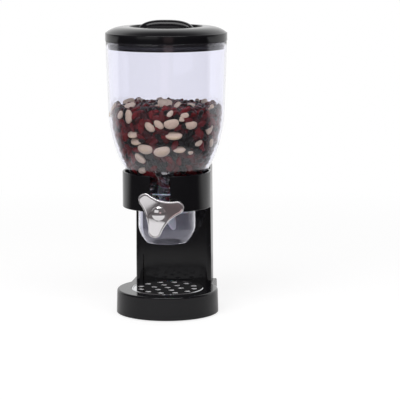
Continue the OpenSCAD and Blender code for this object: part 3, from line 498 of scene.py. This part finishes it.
def knob():
    """The three-lobed knob: its outline drawn in by a rising offset, over a back, a side, a bevelled rim, a
    face that falls from the hub as one plane along each lobe, and a neck that is turned about the axle. The
    face's height is KNOB_T - KNOB_FALL * t^2 / (t + 0.08), with t from 0 at the hub to 1 at a lobe's end."""
    back_round, rim_round, rim_drop, face_in, face_drop = 0.6, 1.1, 1.2, 2.6, 0.46
    outline, outward = knob_outline()
    reach = LOBE_RING + LOBE_R
    bearing = math.radians(KNOB_TURN) + np.arange(3) * TAU / 3
    lobes = np.stack([np.cos(bearing), np.sin(bearing)])
    back_r = KNOB_NECK_R - 0.5

    def row(inset, shrink, height, from_face):
        """The outline drawn in and scaled, at a height over the back or over the face."""
        p = (outline - outward * inset) * shrink
        along = (p @ lobes).max(1)
        t = np.clip((along - CAP_R + 3) / (reach - CAP_R + 3), 0, 1)
        face = KNOB_T - KNOB_FALL * t ** 2 / (t + 0.08)
        z = face + height if from_face else np.full(len(p), height)
        return np.column_stack([p, z])

    rows = [row(back_round, s, 0.0, False) for s in (0.001, 0.35, 0.7, 1.0)]
    rows += [row(back_round - back_round * math.sin(a), 1, back_round - back_round * math.cos(a), False)
             for a in np.linspace(0.3, math.pi / 2, 4)]
    rows += [row(0, 1, -1.3, True)]
    rows += [row(rim_round - rim_round * math.cos(a), 1, rim_round * math.sin(a) - rim_drop, True)
             for a in np.linspace(0.2, math.pi / 2, 7)]
    bevel = ((1.35, -0.14), (1.6, -0.32), (2.0, -0.42), (face_in, -face_drop))
    rows += [row(d, 1, h, True) for d, h in bevel]
    rows += [row(face_in, s, -face_drop, True) for s in np.linspace(0.94, 0.3, 12)]
    rows += [row(face_in, 0.001, -face_drop, True)]
    grid = on_axle(np.array(rows), knob_back_y)
    plate = skin("knob_plate", grid, MAT["chrome"], poles=(True, True), sharp=50)
    neck = rounded([(5, 0.2, 0), (KNOB_NECK_R, 0.2, 0.5), (back_r, knob_back_y - boss_y - 1.2, 0.8),
                    (back_r + 1.2, knob_back_y - boss_y + 0.4, 0), (5, knob_back_y - boss_y + 0.4, 0)])
    neck[:, 1] += boss_y + 1.3
    neck[:, 1] = np.minimum(neck[:, 1], knob_back_y + 0.3)
    neck_piece = skin("knob_neck", on_axle(turned(neck, 64)), MAT["chrome"], loop=True)
    for obj in (plate, neck_piece):
        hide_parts("knob")
        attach(obj, "rotor")
    # the domed cap: a ball of the cap's radius and rise, with a small rounded foot and a stub in the knob
    ball = (CAP_R ** 2 + CAP_RISE ** 2) / (2 * CAP_RISE)
    a = np.linspace(0.0, math.asin((CAP_R - 0.5) / ball), 24)
    dome = np.stack([ball * np.sin(a), ball * np.cos(a) - ball + CAP_RISE], -1)
    stub = [[CAP_R - 0.15, 0.35], [CAP_R, -0.1], [CAP_R - 0.2, -0.5], [6, -0.5], [5.9, -1.7], [0, -1.7]]
    grid = on_axle(turned(np.vstack([dome, stub]), 96), knob_back_y + KNOB_T)
    cap = skin("knob_dome", grid, MAT["chrome"], poles=(True, True))
    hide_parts("knob_cap")
    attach(cap, "rotor")


def dome_z(r):
    """Height of the lid's dome: band_top + DOME_RISE * (1 - t^3), with t from 0 at the well to 1 near the
    rim."""
    return band_top + DOME_RISE * (1 - np.clip((r - WELL_R) / (lid_r - 1 - WELL_R), 0, 1) ** 3)


def lid():
    """The lid: a rounded band, a dome that rises to the finger well, the well, and its underside, turned
    about the axis; and the grip, an arch along x whose section is a round-topped ridge that shrinks to
    nothing at each end. With u from -90 to 90 degrees along it, x is GRIP_HALF_L * sin(u), the ridge has
    (1 - |sin(u)|^9)^0.4 of its full width, and its crest falls by GRIP_FALL * |sin(u)|^2.8."""
    r = np.linspace(lid_r - 1.6, WELL_R + 1.2, 40)
    dome = np.stack([r, dome_z(r)], -1)
    hollow_r = lid_r - LID_WALL
    edge = rounded([(hollow_r, band_top - LID_WALL - 1, 0), (hollow_r, mouth_z, 0.3), (lid_r, mouth_z, 0.5),
                    (lid_r, band_top - 0.4, 1.4), (dome[0, 0], dome[0, 1], 0)])[:-1]
    floor_r = WELL_R - 6
    well = rounded([(dome[-1, 0], dome[-1, 1], 0), (WELL_R - 0.8, rim_z, 1.2), (floor_r, well_floor_z, 2.2),
                    (0, well_floor_z, 0)])[1:]
    ri = np.linspace(WELL_R + 1, hollow_r - 0.6, 20)
    inner = np.stack([ri, dome_z(ri) - LID_WALL], -1)
    below = rounded([(0, well_floor_z - LID_WALL, 0), (floor_r + LID_WALL, well_floor_z - LID_WALL, 1.5),
                     (WELL_R + 1, dome_z(WELL_R + 1) - LID_WALL, 0)])[:-1]
    path = np.vstack([below, inner, edge, dome, well])
    shell = skin("lid_shell", turned(path, 192), MAT["black_abs"], poles=(True, True))
    u = np.linspace(-math.pi / 2, math.pi / 2, 91)
    x = GRIP_HALF_L * np.sin(u)
    end = np.clip(1 - np.abs(np.sin(u)) ** 9, 0, 1) ** 0.4
    crest = grip_top - GRIP_FALL * np.abs(x / GRIP_HALF_L) ** 2.8
    foot = well_floor_z - 1
    top = foot + (crest - foot) * (0.55 + 0.45 * end)
    top[[0, -1]] = foot
    # section: |y / half width|^(2 / 0.62) + |(z - middle) / half height|^(2 / 0.8) = 1, drawn in a little
    # towards its top
    t = np.linspace(0, TAU, 48, endpoint=False)
    c, s = np.cos(t), np.sin(t)
    side = np.sign(c) * np.abs(c) ** 0.62
    lift = np.sign(s) * np.abs(s) ** 0.8
    half_w = (GRIP_W / 2 * end)[:, None]
    mid = ((top + foot) / 2)[:, None]
    half_h = ((top - foot) / 2)[:, None]
    taper_in = 1 - 0.16 * np.clip(lift, 0, 1)
    grid = np.stack([x[:, None] + 0 * t, half_w * side * taper_in, mid + half_h * lift], -1)
    grip = skin("lid_grip", grid, MAT["black_abs"], poles=(True, True), sharp=60)
    for obj in (shell, grip):
        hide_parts("lid_top")
        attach(obj, "lid")


# ---------------------------------------------------------------- dry food
def seed(length, width, thick, bend, around=10, along=8):
    """One seed: an ellipsoid whose long axis is bent into a shallow bow and whose ends are blunt. With u from
    0 to 180 degrees along it, x is -cos(u) of its half length and its ring is sin(u)^0.85 of its half width
    and half thickness. Returns points in millimetres and its faces."""
    u = np.linspace(0, math.pi, along + 1)
    t = np.linspace(0, TAU, around, endpoint=False)
    x = -np.cos(u)[:, None] + 0 * t
    ring = (np.sin(u) ** 0.85)[:, None]
    y, z = ring * np.cos(t), ring * np.sin(t)
    p = np.stack([x * length / 2, y * width / 2 + bend * (x ** 2 - 0.4), z * thick / 2], -1)
    idx = np.arange((along + 1) * around).reshape(along + 1, around)
    idx[0], idx[-1] = idx[0, 0], idx[-1, 0]
    idx = np.hstack([idx, idx[:, :1]])
    quads = np.stack([idx[:-1, :-1], idx[1:, :-1], idx[1:, 1:], idx[:-1, 1:]], -1).reshape(-1, 4)
    return p.reshape(-1, 3), quads


def unit(v):
    """Vectors scaled to a length of 1."""
    return v / np.linalg.norm(v, axis=-1, keepdims=True)


def scatter(name, shape, places, facing, roll, size, shade, material, body):
    """Copies of one seed in one mesh. Each is turned so that its flat side faces a direction, then rolled
    about it."""
    p, quads = shape
    n = unit(facing)
    helper = np.where(np.abs(n[:, 2:]) < 0.9, [[0.0, 0.0, 1.0]], [[1.0, 0.0, 0.0]])
    a = unit(np.cross(helper, n))
    b = np.cross(n, a)
    c, s = np.cos(roll)[:, None], np.sin(roll)[:, None]
    long_axis, wide_axis = a * c + b * s, b * c - a * s
    turn = np.stack([long_axis, wide_axis, n], -1)
    verts = np.einsum("kij,pj->kpi", turn, p) * size[:, None, None] + places[:, None]
    faces = quads[None] + (np.arange(len(places)) * len(p))[:, None, None]
    per = len(np.unique(quads))
    obj = add_mesh(name, verts.reshape(-1, 3), faces.reshape(-1, 4), material, SMOOTH)
    mark = obj.data.attributes.new("shade", "FLOAT", "POINT")
    mark.data.foreach_set("value", np.repeat(shade, per).astype(np.float32))
    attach(obj, body)


def inside_r(z):
    """Inner radius of the canister at a height, in millimetres: the bowl's ellipse up to the shoulder, a
    straight line above it, and never less than the neck's."""
    z = np.asarray(z, float)
    r, drop = SHOULDER_R - CLEAR_WALL, BOWL_DROP - CLEAR_WALL
    low = r * np.sqrt(np.clip(1 - (np.clip(shoulder_z - z, 0, drop * 0.999) / drop) ** 2, 0, 1))
    high = r + (mouth_r - SHOULDER_R) * (z - shoulder_z) / (mouth_z - shoulder_z)
    return np.maximum(np.where(z < shoulder_z, low, high), NECK_R - CLEAR_WALL)


def wall_slope(z):
    """How much the inner radius grows for each millimetre of height."""
    return (inside_r(z + 1) - inside_r(z - 1)) / 2


def heap_z(r, t):
    """Height of the food's top: a low heap with a few soft hollows, which dips where it meets the wall."""
    return FOOD_TOP + 2.5 * (1 - (r / 80) ** 2) + 1.3 * np.sin(3 * t + 1) * (r / 80) - 4.5 * (r / 79) ** 8


def heap_z_at(p):
    """Height of the food's top at the x and y of points."""
    return heap_z(np.hypot(p[:, 0], p[:, 1]), np.arctan2(p[:, 1], p[:, 0]))


# Length, width, thickness and bend. The largest seeds have more faces.
SEEDS = {
    "lima": seed(19.5, 12.5, 6.0, 1.2, around=14, along=10),
    "kidney": seed(16.5, 9.0, 6.8, 1.4),
    "turtle": seed(12.0, 8.0, 6.2, 0.5),
}
# Large pale seeds against the wall at the front: bearing in degrees from the front, height, roll, size, and
# how far the flat side is tipped up
WALL_LIMAS = [
    (-33.5, 289.0, 85, 1.02, 0), (-8.7, 276.2, -45, 0.87, 0), (0.9, 280.0, -45, 0.82, 0),
    (14.0, 280.8, 10, 1.09, 0), (35.3, 278.2, 0, 0.94, 0), (28.0, 292.0, 10, 0.65, 0),
    (24.6, 287.0, -10, 0.55, 0), (16.8, 264.1, 0, 1.23, 55), (-30.6, 264.1, -8, 0.94, 50),
    (-27.4, 254.5, -10, 0.94, 50), (-16.3, 244.4, -5, 1.16, 0), (3.4, 241.5, 15, 1.2, 0),
    (-26.1, 230.1, -40, 0.94, 0), (24.0, 243.9, 5, 0.94, 55), (47.4, 251.4, 20, 0.65, 0),
    (-29.5, 212.0, 10, 0.73, 30), (38.2, 238.5, 0, 0.45, 0), (-47.0, 290.0, 45, 0.75, 0),
    (12.7, 295.0, 45, 0.55, 0),
]
# Pale seeds that lean on the heap: x, y, roll, size, and how far the flat side is tipped to the front
HEAP_LIMAS = [
    (2.5, -30.0, -5, 1.08, 70), (-57.0, 12.0, 20, 0.9, 50), (-45.0, -40.0, 20, 0.8, 45),
    (20.0, -30.0, 60, 0.6, 45), (38.0, -20.0, -20, 0.6, 30), (50.0, 35.0, 10, 0.8, 25),
    (-20.0, 60.0, 0, 0.8, 20),
]


def layer_places(rng, low):
    """Two layers against the wall and two under the heap's top, as places and the way the flat side faces.
    They follow golden-angle spirals with a repeatable jitter. Along the wall, the count in a band follows
    the band's area."""
    heap_reach = 74
    batches = []
    for depth, pitch in ((4.8, 8.8), (11.0, 10.5)):
        z = np.linspace(low, FOOD_TOP - 1, 4000)
        area = np.cumsum(inside_r(z) - depth)
        count = int(TAU * area[-1] * (z[1] - z[0]) / pitch ** 2)
        k = np.arange(count)
        zk = np.interp((k + 0.5) / count * area[-1], area, z) + rng.uniform(-1.5, 1.5, count)
        t = k * GOLDEN + rng.uniform(-0.04, 0.04, count)
        zk = np.clip(zk, low, None)
        slope = wall_slope(zk)
        n = np.stack([np.cos(t), np.sin(t), -slope], -1)
        r = inside_r(zk) - depth * np.sqrt(1 + slope ** 2) + rng.uniform(-1, 0.4, count)
        batches.append((np.stack([r * np.cos(t), r * np.sin(t), zk], -1),
                        n + rng.normal(0, 0.24, (count, 3))))
    for sink, pitch in ((2.0, 8.6), (8.0, 10.0)):
        count = int(math.pi * heap_reach ** 2 / pitch ** 2)
        k = np.arange(count)
        r, t = heap_reach * np.sqrt((k + 0.5) / count), k * GOLDEN
        z = heap_z(r, t) - sink + rng.uniform(-1.2, 1.8, count)
        batches.append((np.stack([r * np.cos(t), r * np.sin(t), z], -1),
                        np.array([0, 0, 1.0]) + rng.normal(0, 0.4, (count, 3))))
    places = np.vstack([b[0] for b in batches])
    facing = np.vstack([b[1] for b in batches])
    over = places[:, 2] > heap_z_at(places) + 1.5
    return places[~over], facing[~over]


def pale_seeds():
    """The pale seeds that are placed one by one: places, the way the flat side faces, roll and size."""
    wall, heap = np.array(WALL_LIMAS, float), np.array(HEAP_LIMAS, float)
    t, tip = np.radians(wall[:, 0] - 90), np.radians(wall[:, 4])
    slope = wall_slope(wall[:, 1])
    r = inside_r(wall[:, 1]) - (3.2 + 1.6 * np.sin(tip)) * np.sqrt(1 + slope ** 2)
    wall_at = np.stack([r * np.cos(t), r * np.sin(t), wall[:, 1]], -1)
    wall_n = unit(np.stack([np.cos(t), np.sin(t), -slope], -1)) * np.cos(tip)[:, None]
    wall_n[:, 2] += np.sin(tip)
    tip = np.radians(heap[:, 4])
    heap_at = np.column_stack([heap[:, :2], heap_z_at(heap) + 5.0 * np.sin(tip)])
    heap_n = np.stack([0 * tip, -np.sin(tip), np.cos(tip)], -1)
    both = np.vstack([wall, heap])
    return np.vstack([wall_at, heap_at]), np.vstack([wall_n, heap_n]), np.radians(both[:, 2]), both[:, 3]


def mixture(rng, low):
    """The layers of seeds that are seen, of three kinds, kept clear of the pale seeds that are placed one by
    one. Near the wall at the front, none of the others is pale."""
    lima, kidney = 0, 1
    shares = [0.06, 0.6, 0.34]
    front_half_angle, front_r = 62, 40
    places, facing = layer_places(rng, low)
    pale_at, pale_n, pale_roll, pale_size = pale_seeds()
    clear_by = np.where(pale_at[:, 2] > FOOD_TOP, 11.5, 8.8) * pale_size
    gap = (np.linalg.norm(places[:, None] - pale_at[None], axis=2) / clear_by).min(1)
    places, facing = places[gap > 1], facing[gap > 1]
    total = len(places)
    kind = rng.choice(3, total, p=shares)
    bearing = np.degrees(np.arctan2(places[:, 0], -places[:, 1]))
    at_front = (np.abs(bearing) < front_half_angle) & (np.hypot(places[:, 0], places[:, 1]) > front_r)
    kind[(kind == lima) & at_front] = kidney
    roll = rng.uniform(0, TAU, total)
    size = rng.uniform(0.84, 1.12, total)
    shade = rng.uniform(0, 1, total)
    for i, key in enumerate(SEEDS):
        m = kind == i
        spots, n, rl, sz, sh = places[m], facing[m], roll[m], size[m], shade[m]
        if i == lima:
            spots, n = np.vstack([spots, pale_at]), np.vstack([n, pale_n])
            rl, sz = np.append(rl, pale_roll), np.append(sz, pale_size)
            sh = np.append(sh, np.linspace(0.3, 1, len(pale_size)))
        scatter(f"food_{key}", SEEDS[key], spots, n, rl, sz, sh, MAT[key], "hopper")


def core(low):
    """The dark mass behind the layers: the bowl's own curve drawn in, closed by the heap, with a ripple of
    about a seed's size whose phase drifts with the height and the bearing."""
    z = np.linspace(low, FOOD_TOP - 9, 70)
    r = inside_r(z) - 13
    wall = np.stack([r, z], -1)
    top_r = np.linspace(r[-1], 0, 24)
    top = np.stack([top_r, heap_z(top_r, 0) - 10], -1)
    grid = turned(np.vstack([[[0, low]], wall, top[1:]]), 120)
    a, up = np.arctan2(grid[..., 1], grid[..., 0]), grid[..., 2]
    ripple = 1 + 0.03 * np.sin(31 * a + 0.7 * up) * np.sin(0.55 * up + 5 * np.sin(7 * a))
    grid[..., :2] *= ripple[..., None]
    obj = skin("food_core", grid, MAT["mixture"], poles=(True, True), sharp=SMOOTH)
    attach(obj, "hopper")


def pocket_seeds(rng):
    """Seeds that already lie between the paddles and turn with the wheel. Tries are strewn over the pocket,
    and those that would touch the chamber, the hub or a paddle, or lie well below the axle, are dropped."""
    tries, half, blade_step, lowest = 1100, [31, 30, 31], 60, -4
    from_wall, from_hub, from_blade = 5.5, 4, 3.4
    p = rng.uniform(-1, 1, (tries, 3)) * half
    across = np.hypot(p[:, 0], p[:, 2])
    angle = np.degrees(np.arctan2(p[:, 2], p[:, 0]))
    off_blade = np.abs((angle - BLADE_TURN + blade_step / 2) % blade_step - blade_step / 2)
    beside_blade = across * np.sin(np.radians(off_blade))
    keep = (np.linalg.norm(p, axis=1) < WHEEL_R - from_wall) & (across > HUB_R + from_hub)
    keep &= (beside_blade > BLADE_T / 2 + from_blade) & (p[:, 2] > lowest)
    p = p[keep] + [0, 0, axle_z]
    count = len(p)
    kind = rng.choice([1, 2], count, p=[0.62, 0.38])
    spare = rng.uniform(0, 1, (count, 3))
    for i, key in ((1, "kidney"), (2, "turtle")):
        m = kind == i
        scatter(f"pocket_{key}", SEEDS[key], p[m], rng.normal(0, 1, (m.sum(), 3)), spare[m, 0] * TAU,
                0.72 + 0.14 * spare[m, 1], spare[m, 2], MAT[key], "rotor")


def food():
    """Three kinds of dry bean. All the random draws come from one generator, in this order."""
    rng = np.random.default_rng(7)
    low = neck_top + 1
    mixture(rng, low)
    core(low + 8)
    pocket_seeds(rng)


canister()
chamber()
knob()
lid()
food()


# ---------------------------------------------------------------- studio
# The dim room, whose colour is painted on the table past its white part as a painted shade, the radius of
# that white part in metres, and what the camera sees of the table near the object: the white that shadows
# darken, and the light that they don't
ROOM, TABLE_R, SHADED, GLOW = "#6a6667", 0.36, "#a0a0a0", 0.76


def in_view(tree, behind):
    """1 where the camera looks at something straight or through clear plastic, and where it sees what is
    behind the object mirrored; 0 in front of it, where even the inner face of a clear wall mirrors the dim
    room."""
    path = node(tree, "LightPath").node.outputs
    unmirrored = node(tree, "Math", [path["Glossy Depth"], 0.5], operation="LESS_THAN")
    allowed = node(tree, "Math", [unmirrored, behind], operation="MAXIMUM")
    through = node(tree, "Math", [path["Is Transmission Ray"], allowed], operation="MULTIPLY")
    mirrored = node(tree, "Math", [path["Is Glossy Ray"], behind], operation="MULTIPLY")
    either = node(tree, "Math", [through, mirrored], operation="MAXIMUM")
    return node(tree, "Math", [path["Is Camera Ray"], either], operation="MAXIMUM")


def sky():
    """The room round the object: white behind it, and dim above and in front of it."""
    world = bpy.data.worlds.new("studio")
    bpy.context.scene.world = world
    world.use_nodes = True
    tree = world.node_tree
    tree.nodes.clear()
    way = node(tree, "SeparateXYZ", [node(tree, "TexCoord", out="Generated")]).node.outputs
    back = node(tree, "MapRange", [way["Y"], 0.3, 0.6, 0.0, 1.0])
    low = node(tree, "MapRange", [way["Z"], 0.6, 0.95, 1.0, 0.0])
    white = node(tree, "Math", [back, low], operation="MULTIPLY")
    room = node(tree, "Mix", {"Factor": white, 6: ROOM, 7: "#ffffff"}, 2, data_type="RGBA")
    lit = node(tree, "Background", {"Color": room, "Strength": 1.0})
    seen = node(tree, "Background", {"Color": "#ffffff", "Strength": 1.0})
    node(tree, "OutputWorld", {"Surface": node(tree, "MixShader", [in_view(tree, 0.0), lit, seen])})


def lamp(name, bearing, rise, distance, size, power, in_reflections=True, colour="#ffffff"):
    """A soft box that faces the object's middle. Its bearing from the front and its rise are in degrees, its
    distance and size in metres and its power in watts."""
    a, e = math.radians(bearing), math.radians(rise)
    ahead = -np.array([math.sin(a) * math.cos(e), -math.cos(a) * math.cos(e), math.sin(e)])
    place = np.array([0, 0, 0.2]) - ahead * distance
    data = bpy.data.lights.new(name, "AREA")
    data.shape = "RECTANGLE"
    data.size, data.size_y = size
    data.energy = power
    data.color = lin(colour)[:3]
    obj = bpy.data.objects.new(name, data)
    right = unit(np.cross(ahead, [0.0, 0.0, 1.0]))
    obj.matrix_world = looking(right, np.cross(right, ahead), ahead, place)
    obj.visible_glossy = in_reflections
    obj.visible_transmission = in_reflections
    bpy.context.scene.collection.objects.link(obj)


def table():
    """The table: a wide disc of matt white board, as rings of points round the axis at seven radii. Where the
    camera looks at it, straight or through clear plastic, it shows nearly white. Beyond TABLE_R the board is
    painted the dim room's colour, a painted shade that shows where the table is mirrored in front."""
    thick_mm = 4.0
    r = np.array([0.001, 0.3, TABLE_R, TABLE_R + 0.05, 2.0, 6.0, 14.0]) * 1000
    t = np.linspace(0, TAU, 96, endpoint=False)
    top = np.stack([r[:, None] * np.cos(t), r[:, None] * np.sin(t), 0 * r[:, None] + 0 * t], -1)
    bottom = top[::-1] - [0, 0, thick_mm]
    m, tree, where = new_material("table")
    from_axis = node(tree, "VectorMath", [where], "Value", operation="LENGTH")
    # past TABLE_R the board takes the dim room's colour: a painted shade, seen where the table is mirrored
    far = node(tree, "MapRange", [from_axis, TABLE_R, TABLE_R + 0.08, 0.0, 1.0])
    mottle = node(tree, "TexNoise", {"Vector": where, "Scale": 1 / (40 * MM)})
    board = node(tree, "Mix", {"Factor": mottle, 6: "#f6f6f6", 7: "#fafafa"}, 2, data_type="RGBA")
    paper = node(tree, "BsdfPrincipled", {
        "Base Color": node(tree, "Mix", {"Factor": far, 6: board, 7: ROOM}, 2, data_type="RGBA"),
        "Roughness": 0.8,
        "Specular IOR Level": 0.1})
    away = node(tree, "MapRange", [from_axis, 0.12, 1.2, 0.0, 1.0])
    darkened = node(tree, "Mix", {"Factor": away, 6: SHADED, 7: "#000000"}, 2, data_type="RGBA")
    shaded = node(tree, "BsdfDiffuse", {"Color": darkened})
    strength = node(tree, "MapRange", [away, 0, 1, GLOW, 1.0])
    glow = node(tree, "Emission", {"Color": "#ffffff", "Strength": strength})
    behind = node(tree, "MapRange", [node(tree, "SeparateXYZ", [where], "Y"), 0.1, 0.5, 0.0, 1.0])
    seen = node(tree, "AddShader", [shaded, glow])
    node(tree, "OutputMaterial", {
        "Surface": node(tree, "MixShader", [in_view(tree, behind), paper, seen])})
    skin("table", np.vstack([top, bottom]), m, poles=(True, True))


sky()
lamp("overhead", bearing=9, rise=62, distance=1.7, size=(1.7, 0.7), power=17)
lamp("fill", bearing=-20, rise=18, distance=2.0, size=(1.2, 1.2), power=9, in_reflections=False)
lamp("window", bearing=-26, rise=14.5, distance=2.5, size=(1.9, 1.13), power=4.2)
lamp("doorway", bearing=13, rise=1.4, distance=2.5, size=(0.75, 0.46), power=0.62, colour="#ffd8d8")
table()
